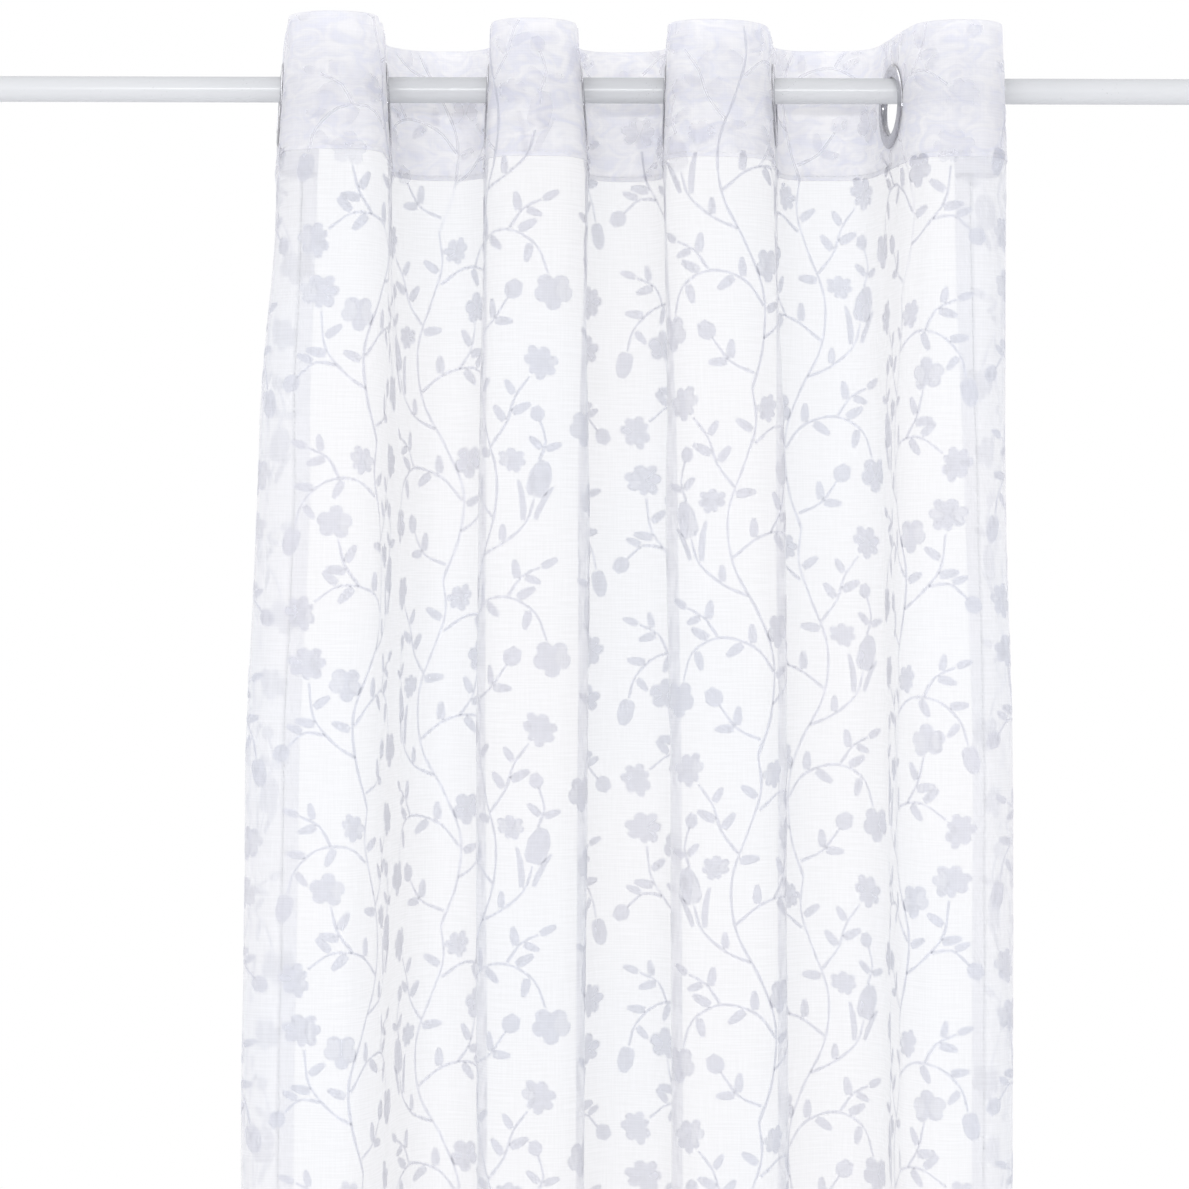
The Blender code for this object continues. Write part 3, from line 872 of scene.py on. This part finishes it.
def makeStem(points, half):    # a flattened cord along the line
    line = smoothLine(points)
    curve = bpy.data.curves.new("stem", "CURVE")
    curve.dimensions = "3D"
    curve.bevel_depth = half
    curve.bevel_resolution = 0
    curve.use_fill_caps = True
    spline = curve.splines.new("POLY")
    spline.points.add(len(line) - 1)
    uneven, beat = relief["uneven"]
    for number, (point, place) in enumerate(zip(spline.points, line)):
        point.co = (place.x, place.y, 0.0, 1.0)
        point.radius = 1.0 + uneven * math.sin(number * beat) - relief["taper"] * number / len(line)
    holder = bpy.data.objects.new("stem", curve)
    bpy.context.scene.collection.objects.link(holder)
    bpy.ops.object.select_all(action="DESELECT")
    bpy.context.view_layer.objects.active = holder
    holder.select_set(True)
    bpy.ops.object.convert(target="MESH")
    bpy.ops.object.mode_set(mode="EDIT")
    bpy.ops.mesh.select_all(action="SELECT")
    bpy.ops.mesh.remove_doubles(threshold=relief["weld"])
    bpy.ops.mesh.quads_convert_to_tris()
    bpy.ops.mesh.normals_make_consistent(inside=False)
    bpy.ops.object.mode_set(mode="OBJECT")
    places, faces = takeApart(bpy.context.object)
    middle = half * 0.3    # what lies nearer than this to the cord's middle is its side
    sides = np.where(places[:, 2] < -middle, relief["under"], relief["stemSide"])
    places[:, 2] = np.where(places[:, 2] > middle, relief["stemRise"], sides)
    return places, faces, line


# One sprig, in metres on the flat cloth, y upwards. Each stem: its route, its leaves as
# (share of the way, side, length) and what stands at its tip as (kind, size).
sprig = {
    "across": 0.140,
    "down": 0.250,
    "drop": 0.37,      # how far each column of sprigs stands lower than the last, as a share
    "start": -0.055,
    "stems": [dict(zip(("route", "leaves", "tip"), row)) for row in (
        (((0.000, 0.000), (0.011, 0.030), (0.014, 0.064), (0.001, 0.098), (-0.015, 0.130),
          (-0.018, 0.165), (-0.006, 0.200), (0.002, 0.226), (0.000, 0.250)),
         ((0.04, -1, 0.017), (0.22, 1, 0.016), (0.47, -1, 0.016), (0.74, 1, 0.017),
          (0.90, -1, 0.016)), None),
        (((0.011, 0.034), (0.026, 0.044), (0.041, 0.062), (0.045, 0.086)),
         ((0.36, -1, 0.017), (0.58, 1, 0.017), (0.78, -1, 0.016)), ("flower", 0.0140)),
        (((0.032, 0.050), (0.047, 0.052), (0.059, 0.042)),
         ((0.40, -1, 0.014),), ("bud", 0.0068)),
        (((0.014, 0.056), (-0.002, 0.074), (-0.025, 0.080), (-0.045, 0.069), (-0.053, 0.050)),
         ((0.30, 1, 0.016), (0.36, -1, 0.017), (0.66, 1, 0.017), (0.74, -1, 0.016)),
         ("bloom", 0.0136)),
        (((-0.026, 0.080), (-0.036, 0.094), (-0.048, 0.100)),
         ((0.45, 1, 0.016), (0.62, -1, 0.014)), ("leaf", 0.015)),
        (((-0.004, 0.108), (-0.022, 0.116), (-0.038, 0.130), (-0.044, 0.147)),
         ((0.40, 1, 0.014),), ("tulip", 0.0140)),
        (((-0.047, 0.172), (-0.052, 0.186), (-0.048, 0.200)),
         ((0.30, 1, 0.014), (0.36, -1, 0.014)), ("bud", 0.0058)),
        (((-0.016, 0.134), (0.004, 0.149), (0.026, 0.152), (0.043, 0.141)),
         ((0.30, -1, 0.016), (0.62, 1, 0.017), (0.80, -1, 0.016)), ("flower", 0.0126)),
        (((0.012, 0.151), (0.023, 0.166), (0.028, 0.184)),
         ((0.46, 1, 0.017), (0.55, -1, 0.016)), ("bloom", 0.0122)),
        (((-0.013, 0.182), (-0.025, 0.198), (-0.031, 0.216), (-0.041, 0.230)),
         ((0.34, 1, 0.016), (0.55, -1, 0.017), (0.76, 1, 0.014)), ("flower", 0.0130)),
        (((0.000, 0.212), (0.018, 0.224), (0.038, 0.222), (0.053, 0.208), (0.058, 0.192)),
         ((0.34, 1, 0.016), (0.60, -1, 0.016), (0.82, 1, 0.014)), ("tulip", 0.0104)),
        (((0.028, 0.224), (0.036, 0.238), (0.050, 0.245)),
         ((0.45, 1, 0.016), (0.68, -1, 0.014)), ("leaf", 0.014)),
        (((0.003, 0.010), (-0.014, 0.018), (-0.026, 0.034)),
         ((0.55, 1, 0.016), (0.62, -1, 0.016)), ("bud", 0.0074)),
    )],
    # flowers that sit on the main stem, and the blades beside a tulip: kind, x, y, turn, size,
    # where a negative size is the mirrored shape
    "seated": (
        ("bloom", 0.0196, 0.0850, 20.0, 0.0122),
        ("flower", -0.0290, 0.1730, 10.0, 0.0100),
        ("flower", 0.0126, 0.2366, 45.0, 0.0104),
        ("blade", -0.0360, 0.1290, 8.0, 0.0330),
        ("blade", -0.0440, 0.1300, 14.0, -0.0300),
    ),
}
leafing = {
    "lean": 0.92, "vary": (0.16, 9.0),    # a leaf's angle from its stem, and how it varies
    "outset": 0.75,                       # its base, as a share of the stem's half width
    "fromStem": 0.0043, "apart": 0.0062,  # a leaf nearer than this to a stem or leaf is left out
    "seat": 0.92, "tulipSeat": 1.0,       # a tip's middle beyond its stem, in its own sizes
    "round": 0.8,                         # how much of a flower's size keeps leaves away
}


def setPad(kind, x, y, turn, size):
    places, faces = pads[kind]
    places = places.copy()
    flat = places[:, :2] * abs(size)
    if size < 0:
        flat[:, 0] *= -1
        faces = faces[:, ::-1]
    cos, sin = math.cos(turn), math.sin(turn)
    places[:, 0] = x + cos * flat[:, 0] - sin * flat[:, 1]
    places[:, 1] = y + sin * flat[:, 0] + cos * flat[:, 1]
    return places, faces


def nearLine(place, line):    # how far a place is from a stem's middle line
    best = 1.0
    for start, end in zip(line, line[1:]):
        along = end - start
        share = min(max((place - start).dot(along) / along.length_squared, 0.0), 1.0)
        best = min(best, (place - start - along * share).length)
    return best


def chartStems(shapes, blooms):    # each stem with its tip, and each stem's line
    lines = []
    for number, stem in enumerate(sprig["stems"]):
        route = [Vector(point) for point in stem["route"]]
        if number:    # a side stem starts at the edge of the one it leaves
            route[0] += (route[1] - route[0]).normalized() * relief["stemHalf"]
        places, faces, line = makeStem(route, relief["stemHalf"])
        shapes.append((places, faces))
        lines.append(line)
        if stem["tip"]:
            kind, size = stem["tip"]
            along = (line[-1] - line[-2]).normalized()
            seat = {"leaf": 0.0, "tulip": leafing["tulipSeat"]}.get(kind, leafing["seat"])
            tip = line[-1] + along * (seat * size)
            shapes.append(setPad(kind, tip.x, tip.y, math.atan2(along.y, along.x) - math.pi / 2, size))
            blooms.append((tip, leafing["round"] * size if kind != "leaf" else 0.0))
    return lines


def chartSprig():    # a leaf that would cross another stem, a flower or a leaf is left out
    shapes, blooms, leaves = [], [], []
    lines = chartStems(shapes, blooms)
    for kind, x, y, turn, size in sprig["seated"]:
        shapes.append(setPad(kind, x, y, math.radians(turn), size))
        blooms.append((Vector((x, y)), leafing["round"] * size if kind != "blade" else 0.0))
    vary, beat = leafing["vary"]
    for stem, line in zip(sprig["stems"], lines):
        for share, side, length in stem["leaves"]:
            spot = min(int(share * (len(line) - 1)), len(line) - 2)
            along = line[spot + 1] - line[spot]
            lean = leafing["lean"] + vary * math.sin(beat * share)
            turn = math.atan2(along.y, along.x) - math.pi / 2 - side * lean
            outward = Vector((-math.sin(turn), math.cos(turn)))
            base = line[spot] + outward * relief["stemHalf"] * leafing["outset"]
            middle, end = base + outward * length * 0.5, base + outward * length
            others = [nearLine(place, other) for other in lines for place in (middle, end)]
            clear = all((place - bloom).length > size for bloom, size in blooms for place in (middle, end))
            apart = all((middle - place).length > leafing["apart"] for place in leaves)
            if min(others) > leafing["fromStem"] and clear and apart:
                leaves.append(middle)
                shapes.append(setPad("leaf", base.x, base.y, turn, side * length))
    return shapes


def layVines():    # every shape of every sprig, as places on the flat cloth
    shapes = chartSprig()
    chart = np.concatenate([places for places, _ in shapes])
    starts = np.cumsum([0] + [len(places) for places, _ in shapes[:-1]])
    faces = np.concatenate([faces + start for (_, faces), start in zip(shapes, starts)])
    shapeOf = np.concatenate([np.full(len(places), n) for n, (places, _) in enumerate(shapes)])
    columns = round(hang["width"] / sprig["across"])
    lowest = hang["headingTop"] - hang["panelBottom"]
    allPlaces, allFaces, allShapes = [], [], []
    count = points = 0
    for column in range(columns):
        mirror = 1.0 if column % 2 == 0 else -1.0
        low = sprig["start"] + (sprig["drop"] * column) % 1.0 * sprig["down"]
        while low < lowest + sprig["down"]:
            places = chart.copy()
            places[:, 0] = (column + 0.5) * sprig["across"] + mirror * chart[:, 0]
            places[:, 1] = low - chart[:, 1]
            allPlaces.append(places)
            # y runs down the cloth here, which turns the faces over once
            allFaces.append((faces[:, ::-1] if mirror > 0 else faces) + points)
            allShapes.append(shapeOf + count)
            points += len(places)
            count += len(shapes)
            low += sprig["down"]
    return np.concatenate(allPlaces), np.concatenate(allFaces), np.concatenate(allShapes), count


laying = {
    "fromSide": 0.0007, "fromBack": 0.0008, "fromBottom": 0.0010,    # held this far inside the edges
    "underHeading": 0.004,         # still on the heading's layer here, and off it over the next
    "stepDown": 0.006,
    "ring": 0.0262, "ringFrom": 0.0270, "ringOver": 0.0035,    # sinks and moves aside at a flange
    "topEdge": 0.0010,             # half the cloth that turns over the top
    "margin": 0.001,               # a shape counts as shown by the points inside this
    "shown": 0.45,                 # the share of its points that must be
    "split": 1.22,                 # down the cloth, between the upper piece and the lower one
    "sharp": 50.0,
}


def layOn(places):    # flat cloth (across, down, rise) to the folds, over the top edge too
    reach = np.clip(places[:, 0], laying["fromSide"], hang["width"] - laying["fromSide"])
    down = np.clip(places[:, 1], hang["headingBottom"] - hang["headingTop"] + laying["fromBack"],
                   hang["headingTop"] - hang["panelBottom"] - laying["fromBottom"])
    rise = places[:, 2].copy()
    height = hang["headingTop"] - np.abs(down)
    inHeading = height > hang["headingBottom"] - laying["underHeading"]
    away = np.full(len(reach), 1.0)
    for middle in wallReach:
        away = np.minimum(away, np.hypot(reach - middle, height - hang["eyeletHeight"]))
    rise += np.where(inHeading & (rise > 0.0), relief["onHeading"], 0.0)
    rise *= np.where(inHeading, smooth((away - laying["ringFrom"]) / laying["ringOver"]), 1.0)
    pushedReach, pushedHeight = pushFromEyelets(reach, height, laying["ring"])
    reach = np.where(inHeading, pushedReach, reach)
    height = np.where(inHeading, pushedHeight, height)
    below = smooth((hang["headingBottom"] - height) / laying["stepDown"])
    layer = layerOffset(reach, height) * (1.0 - below)
    over = np.clip(down / laying["topEdge"], -1.0, 1.0) * math.pi / 2
    offset = (layer + rise) * np.sin(over)
    height = height - heading["layer"] * (1.0 - np.cos(over)) * (np.abs(down) < laying["topEdge"])
    return onCloth(reach, height, offset)


def makeVines():
    places, faces, shapeOf, count = layVines()
    lowest = hang["headingTop"] - hang["panelBottom"]
    highest = hang["headingBottom"] - hang["headingTop"]
    margin = laying["margin"]
    inside = ((places[:, 0] > margin) & (places[:, 0] < hang["width"] - margin)
              & (places[:, 1] > highest + margin) & (places[:, 1] < lowest - 2 * margin))
    size = np.bincount(shapeOf, minlength=count)
    shown = np.bincount(shapeOf, inside, count) > laying["shown"] * size
    middle = np.bincount(shapeOf, places[:, 1], count) / np.maximum(size, 1)
    bands = {
        "vineHeading": (highest - 1.0, -highest),
        "vineUpper": (-highest, laying["split"]),
        "vineLower": (laying["split"], lowest + 1.0),
    }
    pieces = {}
    for name, (start, end) in bands.items():
        wanted = shown & (middle >= start) & (middle < end)
        mine = faces[wanted[shapeOf[faces[:, 0]]]]
        used = np.unique(mine)
        renumber = np.zeros(len(places), int)
        renumber[used] = np.arange(len(used))
        flat = places[used, :2]
        finish = finishes["headingVine" if name == "vineHeading" else "vine"]
        pieces[name] = meshFrom(name, layOn(places[used]), renumber[mine], flat, finish)
        pieces[name].data.set_sharp_from_angle(angle=math.radians(laying["sharp"]))
        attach(pieces[name], "root")
    return pieces


vines = makeVines()
print("vines laid", {name: len(piece.data.polygons) for name, piece in vines.items()})

# ---- stitching: one stitch, copied along each seam, in front of the cloth and behind it

stitch = {
    "length": 0.0031, "pitch": 0.0039, "half": 0.00022, "flat": 0.8,
    "inside": 0.0020, "insideBottom": 0.003,    # how far inside a hem's own edge the line runs
    "start": 0.003, "past": 0.004,              # its ends, across the cloth and down it
    "waves": ((0.00025, 0.21), (0.00012, 1.7)),
    "slant": 0.06,
}
# along: the line runs across the cloth, or down it. front and back: the thread's place.
seams = {
    "headingSeam": {"along": "across", "at": hang["headingBottom"] + heading["seam"],
                    "front": 0.00050, "back": -0.00050},
    "bottomSeam": {"along": "across",
                   "at": hang["panelBottom"] + panel["bottomHem"] - stitch["insideBottom"],
                   "front": 0.00022, "back": -0.00108},
    "leftSeam": {"along": "down", "at": panel["sideHem"] - stitch["inside"],
                 "front": 0.00022, "back": -0.00092},
    "rightSeam": {"along": "down", "at": hang["width"] - panel["sideHem"] + stitch["inside"],
                  "front": 0.00022, "back": -0.00092},
}


def makeStitch():
    bpy.ops.mesh.primitive_uv_sphere_add(segments=4, ring_count=4, radius=1.0)
    ball = bpy.context.object
    bpy.ops.object.mode_set(mode="EDIT")
    bpy.ops.mesh.select_all(action="SELECT")
    bpy.ops.transform.resize(value=(stitch["half"], stitch["half"] * stitch["flat"], stitch["length"] / 2))
    bpy.ops.mesh.quads_convert_to_tris()
    bpy.ops.object.mode_set(mode="OBJECT")
    places, faces = takeApart(ball)
    return places[:, [2, 0, 1]], faces


def makeSeam(name, seam):
    places, faces = makeStitch()
    if seam["along"] == "across":
        spots = np.arange(stitch["start"], hang["width"] - stitch["start"], stitch["pitch"])
    else:
        spots = np.arange(hang["headingBottom"] - stitch["past"], hang["panelBottom"] + stitch["past"],
                          -stitch["pitch"])
    reach, height, offset = [], [], []
    for side in ("front", "back"):
        for number, spot in enumerate(spots):
            sway = sum(size * math.sin(number * beat) for size, beat in stitch["waves"])
            if seam["along"] == "across":
                reach.append(spot + places[:, 0])
                height.append(seam["at"] + sway + places[:, 1] + stitch["slant"] * places[:, 0])
            else:
                reach.append(seam["at"] + sway + places[:, 1])
                height.append(spot + places[:, 0])
            offset.append(seam[side] + places[:, 2])
    reach, height, offset = (np.concatenate(part) for part in (reach, height, offset))
    copies = len(spots) * 2
    allFaces = np.concatenate([faces + len(places) * copy for copy in range(copies)])
    flat = np.stack((reach, hang["headingTop"] - height), axis=-1)
    piece = meshFrom(name, onCloth(reach, height, offset), allFaces, flat, finishes["thread"])
    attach(piece, "root")
    return piece


seamPieces = {name: makeSeam(name, seam) for name, seam in seams.items()}
print("seams stitched", {name: len(piece.data.polygons) for name, piece in seamPieces.items()})

# ---- eyelets: two pressed rings that grip the heading, one profile spun round the bore

ring = {
    "steps": 72,
    "weld": 0.00002,
    "smooth": 48.0,
    # half of the section as (radius, height), from the bore out to the flange's flat side,
    # which is just off the cloth
    "section": (
        (0.02000, 0.0000), (0.02000, 0.0009), (0.02012, 0.0016), (0.02048, 0.0021),
        (0.02105, 0.0024), (0.02190, 0.0025), (0.02330, 0.00245), (0.02500, 0.00235),
        (0.02680, 0.00218), (0.02800, 0.0020), (0.02890, 0.00170), (0.02935, 0.0014),
        (0.02945, 0.0011), (0.02920, 0.00098), (0.02700, 0.00098), (0.02270, 0.00098),
    ),
}


def eyeletPlace(wall):
    lean, tilt = math.radians(wall["lean"]), math.radians(wall["tilt"])
    back = Vector((math.sin(lean), math.cos(lean), 0.0))
    axis = back.cross(Vector((math.tan(tilt), 0.0, 1.0))).normalized()
    turned = Matrix((back, axis.cross(back), axis)).transposed().to_4x4()
    rest = hang["rodRadius"] + hang["gap"] + hang["boreLand"] * math.tan(abs(tilt))
    height = rest - hang["boreRadius"] * math.cos(tilt)
    return Matrix.Translation((wallAt(wall, height), 0.0, height)) @ turned


def spinRing():    # one ring round the origin, its bore along z
    upper = ring["section"]
    outline = upper + tuple((radius, -height) for radius, height in reversed(upper[1:]))
    bpy.ops.mesh.primitive_circle_add(vertices=len(outline), radius=0.001, fill_type="NOTHING")
    section = bpy.context.object
    for vertex, (radius, height) in zip(section.data.vertices, outline):
        vertex.co = (radius, 0.0, height)
    bpy.ops.object.mode_set(mode="EDIT")
    bpy.ops.mesh.select_all(action="SELECT")
    bpy.ops.mesh.spin(steps=ring["steps"], angle=2 * math.pi, center=(0, 0, 0), axis=(0, 0, 1))
    bpy.ops.mesh.select_all(action="SELECT")
    bpy.ops.mesh.remove_doubles(threshold=ring["weld"])
    bpy.ops.mesh.normals_make_consistent(inside=False)
    bpy.ops.object.mode_set(mode="OBJECT")
    return takeApart(section)


def setRing(number, wall, places, faces):
    piece = meshFrom(f"eyeletRing{number}", places, faces, None, finishes["chrome"])
    piece.data.transform(eyeletPlace(wall))
    piece.data.set_sharp_from_angle(angle=math.radians(ring["smooth"]))
    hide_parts(f"eyelet_{number}")
    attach(piece, "root")
    return piece


ringShape = spinRing()
rings = [setRing(number, wall, *ringShape) for number, wall in enumerate(walls, 1)]
print("eyelets made", len(rings), len(rings[0].data.polygons))

# ---- the rod

rod = {"sides": 96, "endEdge": 0.0010, "endSteps": 3, "sharp": 60.0, "smooth": 40.0}


def makeRod():
    bpy.ops.mesh.primitive_cylinder_add(vertices=rod["sides"], radius=hang["rodRadius"],
                                        depth=hang["rodLength"], rotation=(0.0, math.pi / 2, 0.0),
                                        calc_uvs=False)
    bar = bpy.context.object
    bar.name = "curtainRod"
    bar.data.name = "curtainRod"
    bar.data.materials.append(finishes["whitePaint"])
    bpy.ops.object.transform_apply(location=True, rotation=True, scale=True)
    edge = bar.modifiers.new("end edge", "BEVEL")
    edge.width = rod["endEdge"]
    edge.segments = rod["endSteps"]
    edge.limit_method = "ANGLE"
    edge.angle_limit = math.radians(rod["sharp"])
    useModifiers(bar)
    bar.data.shade_smooth()
    bar.data.set_sharp_from_angle(angle=math.radians(rod["smooth"]))
    return bar


curtainRod = makeRod()
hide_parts("rod")
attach(curtainRod, "root")
print("rod made")

# ---- stage and light

stage = {"gap": 0.030, "radius": 7.6, "sides": 96, "colour": (0.90, 0.90, 0.91), "rough": 0.7}
lamps = {    # size: across, up
    "key": {"place": (-0.30, -3.60, -0.06), "aim": (0.0, 0.0, -0.2), "size": (2.4, 0.14), "power": 44.0},
    "leftFront": {"place": (-3.20, -2.20, 1.20), "aim": (0.0, 0.0, -0.5), "size": (2.0, 2.0), "power": 25.0},
    "rightFront": {"place": (3.20, -2.20, 1.20), "aim": (0.0, 0.0, -0.5), "size": (2.0, 2.0), "power": 25.0},
    "leftBehind": {"place": (-3.20, 2.20, 1.20), "aim": (0.0, 0.0, -0.5), "size": (2.0, 2.0), "power": 28.0},
    "rightBehind": {"place": (3.20, 2.20, 1.20), "aim": (0.0, 0.0, -0.5), "size": (2.0, 2.0), "power": 28.0},
    "behind": {"place": (0.20, 3.40, 0.20), "aim": (0.0, 0.0, -0.4), "size": (3.0, 3.0), "power": 16.0},
}
skyLook = {    # white where it is seen, softer where it lights
    "seen": (1.0, 1.0, 1.0),
    "above": (0.68, 0.68, 0.69), "below": (0.60, 0.60, 0.61),
    "change": (0.42, 0.62),    # from straight down (0) to straight up (1)
}

bpy.ops.mesh.primitive_circle_add(vertices=stage["sides"], radius=stage["radius"], fill_type="NGON",
                                  location=(0.0, 0.0, hang["panelBottom"] - stage["gap"]))
floor = bpy.context.object
floor.name = "floor"
floorFinish = bpy.data.materials.new("floorFinish")
floorFinish.use_nodes = True
floorFace = floorFinish.node_tree.nodes["Principled BSDF"]
floorFace.inputs["Base Color"].default_value = (*stage["colour"], 1.0)
floorFace.inputs["Roughness"].default_value = stage["rough"]
floor.data.materials.append(floorFinish)


def addLamp(name, look):
    bpy.ops.object.light_add(type="AREA", location=look["place"])
    lamp = bpy.context.object
    lamp.name = name
    forward = Vector(look["aim"]) - Vector(look["place"])
    lamp.rotation_euler = forward.to_track_quat("-Z", "Y").to_euler()
    lamp.data.shape = "RECTANGLE"
    lamp.data.size = look["size"][0]
    lamp.data.size_y = look["size"][1]
    lamp.data.energy = look["power"]
    lamp.visible_camera = False


for name, look in lamps.items():
    addLamp(name, look)


def makeSky():
    sky = bpy.data.worlds.new("sky")
    bpy.context.scene.world = sky
    sky.use_nodes = True
    tree = sky.node_tree
    parts = addNode(tree, "ShaderNodeSeparateXYZ")
    tree.links.new(addNode(tree, "ShaderNodeTexCoord").outputs["Generated"], parts.inputs["Vector"])
    upward = addRange(tree, parts.outputs["Z"], (-1.0, 1.0), (0.0, 1.0))
    light = addRamp(tree, upward, skyLook["change"], (skyLook["below"], skyLook["above"]))
    mix = addNode(tree, "ShaderNodeMix", {"B": (*skyLook["seen"], 1.0)}, data_type="RGBA")
    tree.links.new(addNode(tree, "ShaderNodeLightPath").outputs["Is Camera Ray"], mix.inputs["Factor"])
    tree.links.new(light, mix.inputs["A"])
    tree.links.new(mix.outputs["Result"], tree.nodes["Background"].inputs["Color"])


makeSky()
bpy.context.scene.view_settings.view_transform = "Standard"
bpy.context.scene.cycles.transparent_max_bounces = 32
bpy.context.scene.cycles.max_bounces = 3
bpy.context.scene.cycles.diffuse_bounces = 3
print("stage and light set")
